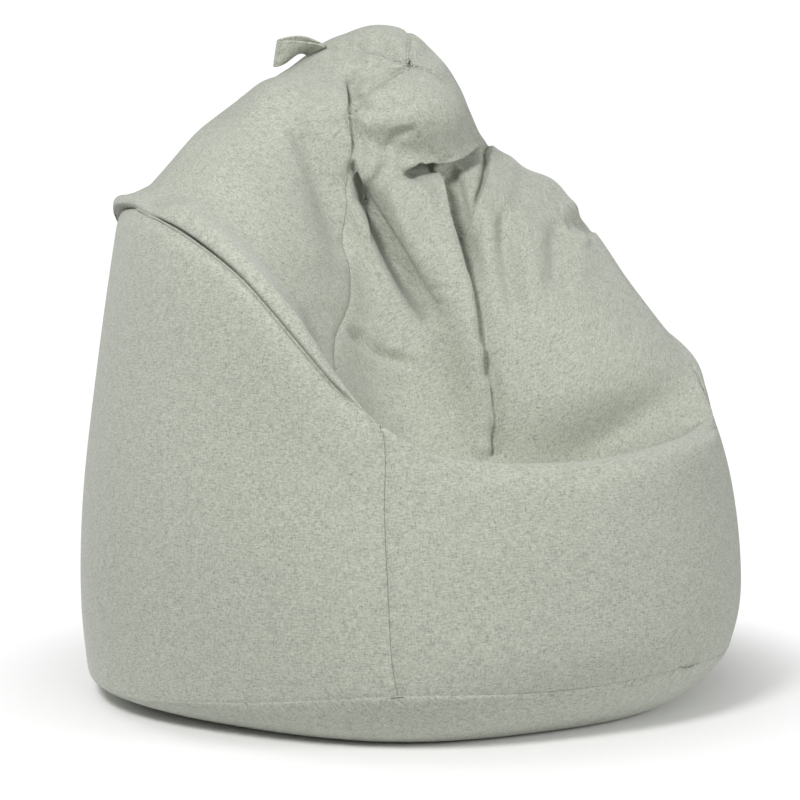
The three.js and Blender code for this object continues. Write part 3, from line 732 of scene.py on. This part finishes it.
def weave_places(obj, u, v):
    """Stores where each point lies on the flat cloth, in metres, for the weave to follow."""
    count = len(obj.data.vertices)
    data = np.zeros((count, 3), np.float32)
    flat = np.stack([u.ravel(), v.ravel()], -1)
    times = count // len(flat)
    data[: times * len(flat), :2] = np.tile(flat, (times, 1))
    rest = count - times * len(flat)
    if rest:
        data[-rest:, :2] = flat[0]
    layer = obj.data.attributes.new("weave", "FLOAT_VECTOR", "POINT")
    layer.data.foreach_set("vector", data.ravel())


def finish_piece(obj, node, material, body="cover"):
    """Gives a piece its material and ties it to the node it stands for."""
    obj.data.materials.clear()
    obj.data.materials.append(material)
    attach(obj, body)
    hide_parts(node)
    return obj


# ---- Materials ----

def shader(name, roughness=0.9, metallic=0.0, sheen=0.0):
    """A new material, its node tree and its shader."""
    material = bpy.data.materials.new(name)
    material.use_nodes = True
    tree = material.node_tree
    surface = tree.nodes["Principled BSDF"]
    surface.inputs["Roughness"].default_value = roughness
    surface.inputs["Metallic"].default_value = metallic
    surface.inputs["Sheen Weight"].default_value = sheen
    surface.inputs["Sheen Roughness"].default_value = 0.5
    return material, tree, surface


def texture(tree, kind, source, scale, **settings):
    """A texture node fed with coordinates stretched by scale."""
    stretch = tree.nodes.new("ShaderNodeMapping")
    stretch.inputs["Scale"].default_value = scale
    tree.links.new(source, stretch.inputs["Vector"])
    node = tree.nodes.new(kind)
    tree.links.new(stretch.outputs["Vector"], node.inputs["Vector"])
    for key, value in settings.items():
        if key in node.inputs:
            node.inputs[key].default_value = value
        else:
            setattr(node, key, value)
    return node.outputs["Fac" if "Fac" in node.outputs else "Distance"]


def maths(tree, operation, a, b=None):
    node = tree.nodes.new("ShaderNodeMath")
    node.operation = operation
    for socket, value in zip(node.inputs, (a, b)):
        if value is None:
            continue
        if isinstance(value, (int, float)):
            socket.default_value = value
        else:
            tree.links.new(value, socket)
    return node.outputs[0]


def ramp(tree, source, stops):
    """Colours along a value: stops are (place, (r, g, b))."""
    node = tree.nodes.new("ShaderNodeValToRGB")
    while len(node.color_ramp.elements) < len(stops):
        node.color_ramp.elements.new(0.5)
    for element, (place, colour) in zip(node.color_ramp.elements, stops):
        element.position = place
        element.color = (*colour, 1)
    tree.links.new(source, node.inputs["Fac"])
    return node.outputs["Color"]


def mix(tree, share, a, b, blend="MIX"):
    node = tree.nodes.new("ShaderNodeMix")
    node.data_type = "RGBA"
    node.blend_type = blend
    factor, first, second = node.inputs[0], node.inputs[6], node.inputs[7]
    for socket, value in ((factor, share), (first, a), (second, b)):
        if isinstance(value, (int, float)):
            socket.default_value = value
        elif isinstance(value, tuple):
            socket.default_value = (*value, 1)
        else:
            tree.links.new(value, socket)
    return node.outputs[2]


def bump(tree, surface, height, strength, distance):
    node = tree.nodes.new("ShaderNodeBump")
    node.inputs["Strength"].default_value = strength
    node.inputs["Distance"].default_value = distance
    tree.links.new(height, node.inputs["Height"])
    tree.links.new(node.outputs["Normal"], surface.inputs["Normal"])


def srgb(r, g, b):
    """A linear colour from a screen colour of 0 to 255."""
    return tuple(
        v / 12.92 if v <= 0.04045 else ((v + 0.055) / 1.055) ** 2.4
        for v in (r / 255, g / 255, b / 255)
    )


def melange():
    """Coarse woven cloth whose yarns are spun from light and dark fibres."""
    material, tree, surface = shader("cover_cloth", 0.92, sheen=0.25)
    place = tree.nodes.new("ShaderNodeAttribute")
    place.attribute_name = "weave"
    at = place.outputs["Vector"]
    spot = tree.nodes.new("ShaderNodeTexCoord").outputs["Object"]
    warp = texture(tree, "ShaderNodeTexNoise", at, (600, 110, 1), Scale=1.0, Detail=3.0, Roughness=0.6)
    weft = texture(tree, "ShaderNodeTexNoise", at, (100, 620, 1), Scale=1.0, Detail=3.0, Roughness=0.6)
    fleck = texture(tree, "ShaderNodeTexNoise", spot, (340, 340, 370), Scale=1.0, Detail=5.0, Roughness=0.85)
    patch = texture(tree, "ShaderNodeTexNoise", spot, (70, 70, 90), Scale=1.0, Detail=4.0, Roughness=0.7)
    tone = maths(tree, "ADD", maths(tree, "MULTIPLY", warp, 0.17), maths(tree, "MULTIPLY", weft, 0.27))
    tone = maths(tree, "ADD", tone, maths(tree, "MULTIPLY", patch, 0.10))
    tone = maths(tree, "ADD", tone, maths(tree, "MULTIPLY", fleck, 0.52))
    colour = ramp(tree, tone, [
        (0.42, srgb(128, 130, 121)), (0.49, srgb(155, 158, 146)),
        (0.57, srgb(177, 181, 168)), (0.68, srgb(194, 198, 186)),
    ])
    dark = ramp(tree, fleck, [(0.30, (1, 1, 1)), (0.37, (0, 0, 0))])
    colour = mix(tree, dark, colour, srgb(104, 107, 105))
    tree.links.new(colour, surface.inputs["Base Color"])
    yarns = texture(tree, "ShaderNodeTexVoronoi", at, (900, 900, 1), Scale=1.0)
    height = maths(tree, "ADD", maths(tree, "MULTIPLY", yarns, 0.5), maths(tree, "ADD", warp, weft))
    bump(tree, surface, height, 0.55, 0.0006)
    rough = maths(tree, "ADD", maths(tree, "MULTIPLY", fleck, 0.12), 0.84)
    tree.links.new(rough, surface.inputs["Roughness"])
    return material


def plain_cloth(name, light, dark, scale, roughness=0.85):
    """A finer cloth, coloured between two tones by its threads."""
    material, tree, surface = shader(name, roughness, sheen=0.1)
    place = tree.nodes.new("ShaderNodeTexCoord").outputs["Object"]
    long = scale * 0.2
    threads, cross = (
        texture(tree, "ShaderNodeTexNoise", place, stretch, Scale=1.0, Detail=2.0)
        for stretch in ((scale, scale, long), (long, long, scale))
    )
    tone = maths(tree, "MULTIPLY", maths(tree, "ADD", threads, cross), 0.5)
    tree.links.new(ramp(tree, tone, [(0.38, dark), (0.62, light)]), surface.inputs["Base Color"])
    bump(tree, surface, tone, 0.4, 0.0003)
    return material


def bead_material():
    material, tree, surface = shader("beads", 0.7)
    place = tree.nodes.new("ShaderNodeTexCoord").outputs["Object"]
    cells = texture(tree, "ShaderNodeTexVoronoi", place, (260, 260, 260), Scale=1.0)
    tree.links.new(ramp(tree, cells, [(0.1, srgb(246, 246, 244)), (0.7, srgb(205, 205, 203))]),
                   surface.inputs["Base Color"])
    bump(tree, surface, cells, -0.8, 0.002)
    return material


def metal_material():
    material, tree, surface = shader("zip_metal", 0.32, 1.0)
    place = tree.nodes.new("ShaderNodeTexCoord").outputs["Object"]
    wear = texture(tree, "ShaderNodeTexNoise", place, (900, 900, 160), Scale=1.0, Detail=4.0)
    tree.links.new(ramp(tree, wear, [(0.35, srgb(150, 152, 151)), (0.65, srgb(196, 198, 197))]),
                   surface.inputs["Base Color"])
    tree.links.new(maths(tree, "ADD", maths(tree, "MULTIPLY", wear, 0.3), 0.2), surface.inputs["Roughness"])
    return material


def coil_material():
    material, tree, surface = shader("zip_coil", 0.45)
    place = tree.nodes.new("ShaderNodeTexCoord").outputs["Object"]
    tone = texture(tree, "ShaderNodeTexNoise", place, (400, 400, 400), Scale=1.0, Detail=2.0)
    tree.links.new(ramp(tree, tone, [(0.3, srgb(118, 123, 110)), (0.7, srgb(140, 145, 131))]),
                   surface.inputs["Base Color"])
    return material


cover_cloth = melange()
liner_cloth = plain_cloth("liner_cloth", srgb(238, 238, 234), srgb(216, 216, 212), 1400)
thread_yarn = plain_cloth("thread", srgb(168, 172, 158), srgb(138, 142, 130), 3000, 0.7)
zip_tape = plain_cloth("zip_tape", srgb(152, 157, 142), srgb(122, 127, 114), 1800)
beads = bead_material()
zip_metal = metal_material()
zip_coil = coil_material()

# ---- Cover ----

GORE_NAMES = ["front_left_panel", "front_right_panel", "rear_right_panel", "rear_left_panel"]
around_row, row_total = row_places(cover)
up_column = column_places(cover)
side_rows = np.arange(SIDE_START, SIDE_END + 1)
for k, name in enumerate(GORE_NAMES):
    columns = np.arange(k * PER_GORE, (k + 1) * PER_GORE + 1)
    wrapped = columns % COLUMNS
    outside = spread_edges(sunk(side_rows, wrapped, 0), columns, side_rows)
    inside = spread_edges(sunk(side_rows, wrapped, CLOTH), columns, side_rows)
    obj = shell("cloth_" + name, outside, inside)
    u = np.where(columns >= COLUMNS, around_row[side_rows][:, wrapped] + row_total[side_rows],
                 around_row[side_rows][:, wrapped])
    u = u - u[:, [PER_GORE // 2]] + 0.7 * k
    weave_places(obj, u, up_column[side_rows][:, wrapped])
    finish_piece(obj, name, cover_cloth)


def base_piece(name, node, rows, poles, depth, thick, material):
    """The base of the cover."""
    columns = np.arange(COLUMNS)
    skins = []
    for d in (depth, depth + thick):
        points = sunk(rows, columns, d).copy()
        way = points[-2] - points[-1]
        points[-1] += way / np.linalg.norm(way, axis=1, keepdims=True) * SEAM_GAP
        skins.append(points)
    obj = disc(name, *skins, poles, True)
    weave_places(obj, skins[0][..., 0] + 9, skins[0][..., 1] + 5)
    return finish_piece(obj, node, material)


base_piece("cloth_base_panel", "base_panel", np.arange(SIDE_START + 1),
           [(0, 0, 0), (0, 0, CLOTH)], 0, CLOTH, cover_cloth)

# ---- Threads ----

SEAM_NAMES = ["left", "front", "right", "rear"]
STITCH = 0.0042


def thread(name, node, path):
    """A sewn thread: a fine cord that swells and dips with each stitch."""
    steps = np.linalg.norm(np.diff(path, axis=0), axis=1)
    place = np.concatenate([[0], np.cumsum(steps)])
    count = int(place[-1] / STITCH * 3)
    at = np.linspace(0, place[-1], count)
    fine = np.stack([np.interp(at, place, path[:, i]) for i in range(3)], -1)
    radii = 0.00032 + 0.00012 * np.cos(2 * np.pi * at / STITCH)
    obj = tube(name, fine, radii, 5)
    return finish_piece(obj, node, thread_yarn)


THREAD_DEPTH = 0.0007
for k, name in enumerate(SEAM_NAMES):
    rows = side_rows[2:-5]
    if k * PER_GORE == ZIP_COLUMN:
        rows = rows[level_of_row[rows] > ZIP_LEVELS[1] + 0.05]
    path = sunk(rows, [k * PER_GORE], THREAD_DEPTH)[:, 0]
    thread(name + "_stitches", name + "_seam_thread", path)
thread("base_stitches", "base_seam_thread", sunk([SIDE_START], np.arange(COLUMNS), THREAD_DEPTH)[0])

# ---- Inner bag and beads, out of sight ----

INSIDE = 0.016
LINER = 0.0008
coarse_rows = np.unique(np.append(np.arange(0, len(cover), 6), [SIDE_START, SIDE_END, len(cover) - 1]))
COARSE = 11
coarse_columns = np.arange(0, COLUMNS, COARSE)


def deepest_near(depth, rows, columns):
    """The largest value within so many rows and columns of each point."""
    out = depth.copy()
    for _ in range(rows):
        padded = np.pad(out, ((1, 1), (0, 0)), "edge")
        out = np.maximum(np.maximum(padded[:-2], padded[2:]), out)
    for _ in range(columns):
        out = np.maximum(np.maximum(np.roll(out, 1, 1), np.roll(out, -1, 1)), out)
    return out


plain_facing = normals(grid)
dent = np.maximum(-np.sum((cover - grid) * plain_facing, -1), 0)
dent = deepest_near(dent, 6, 11)
core = (grid - plain_facing * dent[..., None])[coarse_rows][:, coarse_columns]
core_facing = plain_facing[coarse_rows][:, coarse_columns]
core_facing[core[..., 2] <= 1e-6] = (0, 0, -1)


def core_at(depth):
    out = core - core_facing * depth
    out[..., 2] = np.maximum(out[..., 2], depth)
    return out


base_row = int(np.argmin(np.abs(coarse_rows - SIDE_START)))
per_gore = PER_GORE // COARSE
for name, start in (("liner_left_half", 3), ("liner_right_half", 1)):
    columns = np.arange(start * per_gore, (start + 2) * per_gore + 1) % (GORES * per_gore)
    skins = [core_at(d)[base_row + 1:][:, columns] for d in (INSIDE, INSIDE + LINER)]
    finish_piece(shell("inner_" + name, *skins), name, liner_cloth)
skins = [core_at(d)[:base_row + 1] for d in (INSIDE, INSIDE + LINER)]
edge = skins[0][0].mean(0)
finish_piece(disc("inner_liner_base", *skins, [edge, edge + [0, 0, LINER]], True), "liner_base",
             liner_cloth)

heap = core_at(INSIDE + 0.002)
heap_points = np.vstack([heap.reshape(-1, 3), heap[0].mean(0), heap[-1].mean(0)])
heap_obj = mesh_from("bead_heap", heap_points, capped_quads(*heap.shape[:2]))
finish_piece(heap_obj, "bead_fill", beads)

# ---- Zip ----

ZIP_FOOT, ZIP_HEAD = 0.1165, 0.4035  # the heights that the coils run between
COIL_PITCH = 0.0022
COIL_WIRE = 0.00031
on_zip = (level_of_row[side_rows] >= ZIP_LEVELS[0]) & (level_of_row[side_rows] <= ZIP_LEVELS[1])
zip_rows = side_rows[on_zip]
line = cover[zip_rows, ZIP_COLUMN]
zip_out = np.array([math.sin(ZIP_ANGLE), -math.cos(ZIP_ANGLE), 0])
zip_across = np.cross([0, 0, 1], zip_out)
for name, side in (("left", 1), ("right", -1)):
    reach = np.array([0.0022, 0.005, 0.008, 0.0105, 0.013]) * side
    skins = []
    for d in (0.0025, 0.0031):
        p = line[:, None] + zip_across * reach[None, :, None] - zip_out * d
        p = p - zip_out * (reach[None, :, None] ** 2) / (2 * ZIP_RADIUS)
        skins.append(p if side > 0 else p[:, ::-1])
    finish_piece(shell("tape_" + name, *skins), "zip_tape_" + name, zip_tape)
    turns = (ZIP_HEAD - ZIP_FOOT) / COIL_PITCH
    a = np.linspace(0, 2 * np.pi * turns, int(turns * 14))
    heights = np.linspace(ZIP_FOOT, ZIP_HEAD, len(a))
    phase = 0 if side > 0 else np.pi
    across = side * (0.00125 + 0.00085 * np.cos(a + phase))
    deep = -0.0023 + 0.00065 * np.sin(a + phase)
    centre = zip_out * ZIP_RADIUS
    path = centre + zip_across * across[:, None] + zip_out * deep[:, None]
    path[:, 2] = heights
    obj = tube("coil_" + name, path, np.full(len(path), COIL_WIRE), 5)
    finish_piece(obj, "zip_coil_" + name, zip_coil)

for name in ("zip_slider", "zip_pull", "zip_top_stop_left", "zip_top_stop_right", "zip_bottom_stop"):
    obj = nodes[name]
    obj.data.materials.clear()
    obj.data.materials.append(zip_metal)
    edge = obj.modifiers.new("Edge", "BEVEL")
    edge.width = 0.00025
    edge.segments = 2
    edge.limit_method = "ANGLE"

# ---- Carry loop ----

flop = next(j for j in frame["joints"] if j["name"] == "carry_loop_flop")
root = np.array(flop["pos_m"], float)
root_line = -np.array(flop["axis"], float)
LOOP_REACH = 0.054
LOOP_SPAN = 0.052
LOOP_BULGE = 0.0075
LOOP_HALF = 0.018
LOOP_CLOTH = 0.0013
LOOP_TURN = 0.009


def unit(v):
    v = np.asarray(v, float)
    return v / np.linalg.norm(v)


LEAVES = unit((-0.86, 0.3, 0.42))
LIES = unit((-0.886, 0.448, -0.115))
ON_EDGE = unit((0.05, -0.25, 0.97))


def loop_path():
    """The middle of the flat strap from its lower end, round the loop, to its upper end."""
    w = np.linspace(0, 1, 26)[:, None]
    end = LOOP_REACH - LOOP_TURN
    a, b, c, d = (np.array(p) for p in (
        (-0.005, -0.0011), (0.012, -0.0011), (end - 0.020, -LOOP_BULGE), (end, -LOOP_BULGE)))
    lower = a * (1 - w) ** 3 + 3 * b * w * (1 - w) ** 2 + 3 * c * w ** 2 * (1 - w) + d * w ** 3
    angle = np.linspace(-np.pi / 2, np.pi / 2, 22)[1:-1]
    turn = np.stack([end + LOOP_BULGE * np.cos(angle), LOOP_BULGE * np.sin(angle)], -1)
    return np.vstack([lower, turn, lower[::-1] * [1, -1]])


def twisted(x, y, z):
    """Where a point of the flat loop ends up: x along the strap, y through it, z across it."""
    t = min(max(x / LOOP_REACH, 0), 1)
    b, c, d = LEAVES * LOOP_SPAN / 3, LIES * LOOP_SPAN * 2 / 3, LIES * LOOP_SPAN
    place = 3 * b * t * (1 - t) ** 2 + 3 * c * t * t * (1 - t) + d * t ** 3
    tangent = b * (1 - t) ** 2 + 2 * (c - b) * t * (1 - t) + (d - c) * t * t
    across = unit(root_line + (ON_EDGE - root_line) * ease(t))
    through = unit(np.cross(across, tangent))
    return root + place + unit(tangent) * min(x, 0) + through * y + across * z


def strap():
    path = loop_path()
    tangent = np.gradient(path, axis=0)
    tangent /= np.linalg.norm(tangent, axis=1, keepdims=True)
    out = np.stack([tangent[:, 1], -tangent[:, 0]], -1)
    half = LOOP_HALF
    ys = np.linspace(-half + 0.001, half - 0.001, 25)
    stitched = 0.0005 * np.exp(-(((np.abs(ys) - half + 0.0035) / 0.0009) ** 2))
    faces_up = np.stack([ys, LOOP_CLOTH - stitched], -1)
    faces_down = np.stack([ys[::-1], -(LOOP_CLOTH - stitched[::-1])], -1)
    rim = [(half, 0.0007), (half + 0.0002, 0), (half, -0.0007)]
    section = np.vstack([faces_up, rim, faces_down, [(-y, z) for y, z in rim[::-1]]])
    pts = np.array([
        twisted(*(p + o * z), y) for p, o in zip(path, out) for y, z in section
    ])
    rows, columns = len(path), len(section)
    ends = [pts[:columns].mean(0), pts[-columns:].mean(0)]
    obj = mesh_from("strap_loop", np.vstack([pts, ends]), capped_quads(rows, columns))
    along = np.concatenate([[0], np.cumsum(np.linalg.norm(np.diff(path, axis=0), axis=1))])
    u = np.repeat(section[None, :, 0], rows, 0) + 3.3
    v = np.repeat(along[:, None], columns, 1) + 1.7
    weave_places(obj, u, v)
    return finish_piece(obj, "carry_loop", cover_cloth, "carry_loop")


strap()

# ---- Stage ----

floor_mesh = mesh_from("floor", [(-30, -30, 0), (30, -30, 0), (30, 30, 0), (-30, 30, 0)], [(0, 1, 2, 3)])
floor_material, floor_tree, floor_surface = shader("floor", 0.6)
floor_place = floor_tree.nodes.new("ShaderNodeTexCoord").outputs["Object"]
grain = texture(floor_tree, "ShaderNodeTexNoise", floor_place, (3, 3, 3), Scale=1.0, Detail=2.0)
floor_tree.links.new(ramp(floor_tree, grain, [(0.0, (0.93, 0.93, 0.93)), (1.0, (0.96, 0.96, 0.96))]),
                     floor_surface.inputs["Base Color"])
far = floor_tree.nodes.new("ShaderNodeVectorMath")
far.operation = "LENGTH"
floor_tree.links.new(floor_place, far.inputs[0])
fade = floor_tree.nodes.new("ShaderNodeMapRange")
fade.interpolation_type = "SMOOTHSTEP"
fade.inputs["From Min"].default_value = 0.38
fade.inputs["From Max"].default_value = 0.66
floor_tree.links.new(far.outputs["Value"], fade.inputs["Value"])
bright = floor_tree.nodes.new("ShaderNodeEmission")
direct = floor_tree.nodes.new("ShaderNodeLightPath").outputs["Is Camera Ray"]
shine = maths(floor_tree, "ADD", maths(floor_tree, "MULTIPLY", direct, 0.43), 0.62)
floor_tree.links.new(shine, bright.inputs["Strength"])
blend = floor_tree.nodes.new("ShaderNodeMixShader")
floor_tree.links.new(fade.outputs["Result"], blend.inputs["Fac"])
floor_tree.links.new(floor_surface.outputs["BSDF"], blend.inputs[1])
floor_tree.links.new(bright.outputs["Emission"], blend.inputs[2])
floor_out = floor_tree.nodes["Material Output"]
floor_tree.links.new(blend.outputs["Shader"], floor_out.inputs["Surface"])
floor_mesh.data.materials.append(floor_material)


def light(name, place, size, power, tint=(1, 1, 1)):
    data = bpy.data.lights.new(name, "AREA")
    data.shape = "DISK"
    data.size = size
    data.energy = power
    data.color = tint
    obj = bpy.data.objects.new(name, data)
    obj.location = place
    aim = Vector((0, 0, 0.35)) - Vector(place)
    obj.rotation_euler = aim.to_track_quat("-Z", "Y").to_euler()
    bpy.context.scene.collection.objects.link(obj)


def from_camera(right, up, towards):
    """A place given across, above and in front of the chair as the camera sees it."""
    level_sight = np.array([SIGHT[0], SIGHT[1], 0]) / math.hypot(SIGHT[0], SIGHT[1])
    return tuple(RIGHT * right + np.array([0, 0, up]) + level_sight * towards)


SKY = 0.38
light("key", from_camera(-1.2, 2.5, 2.4), 0.9, 82)
light("fill", from_camera(3.0, 1.4, 1.6), 1.2, 46)
light("top", from_camera(-1.4, 3.2, -0.4), 1.6, 14)

world = bpy.data.worlds.new("studio")
bpy.context.scene.world = world
world.use_nodes = True
studio = world.node_tree
backdrop = studio.nodes["Background"]
backdrop.inputs["Color"].default_value = (1, 1, 1, 1)
glow = studio.nodes.new("ShaderNodeMix")
glow.inputs["A"].default_value = SKY
glow.inputs["B"].default_value = 1.05
studio.links.new(studio.nodes.new("ShaderNodeLightPath").outputs["Is Camera Ray"], glow.inputs["Factor"])
studio.links.new(glow.outputs["Result"], backdrop.inputs["Strength"])
bpy.context.scene.view_settings.view_transform = "Standard"

camera_data = bpy.data.cameras.new("camera")
camera_data.sensor_width = 36
camera_data.lens = 36 * DISTANCE / FIELD
camera = bpy.data.objects.new("camera", camera_data)
basis = Matrix((RIGHT, UP, SIGHT)).transposed().to_4x4()
camera.matrix_world = Matrix.Translation(Vector(AIM + SIGHT * DISTANCE)) @ basis
bpy.context.scene.collection.objects.link(camera)
bpy.context.scene.camera = camera
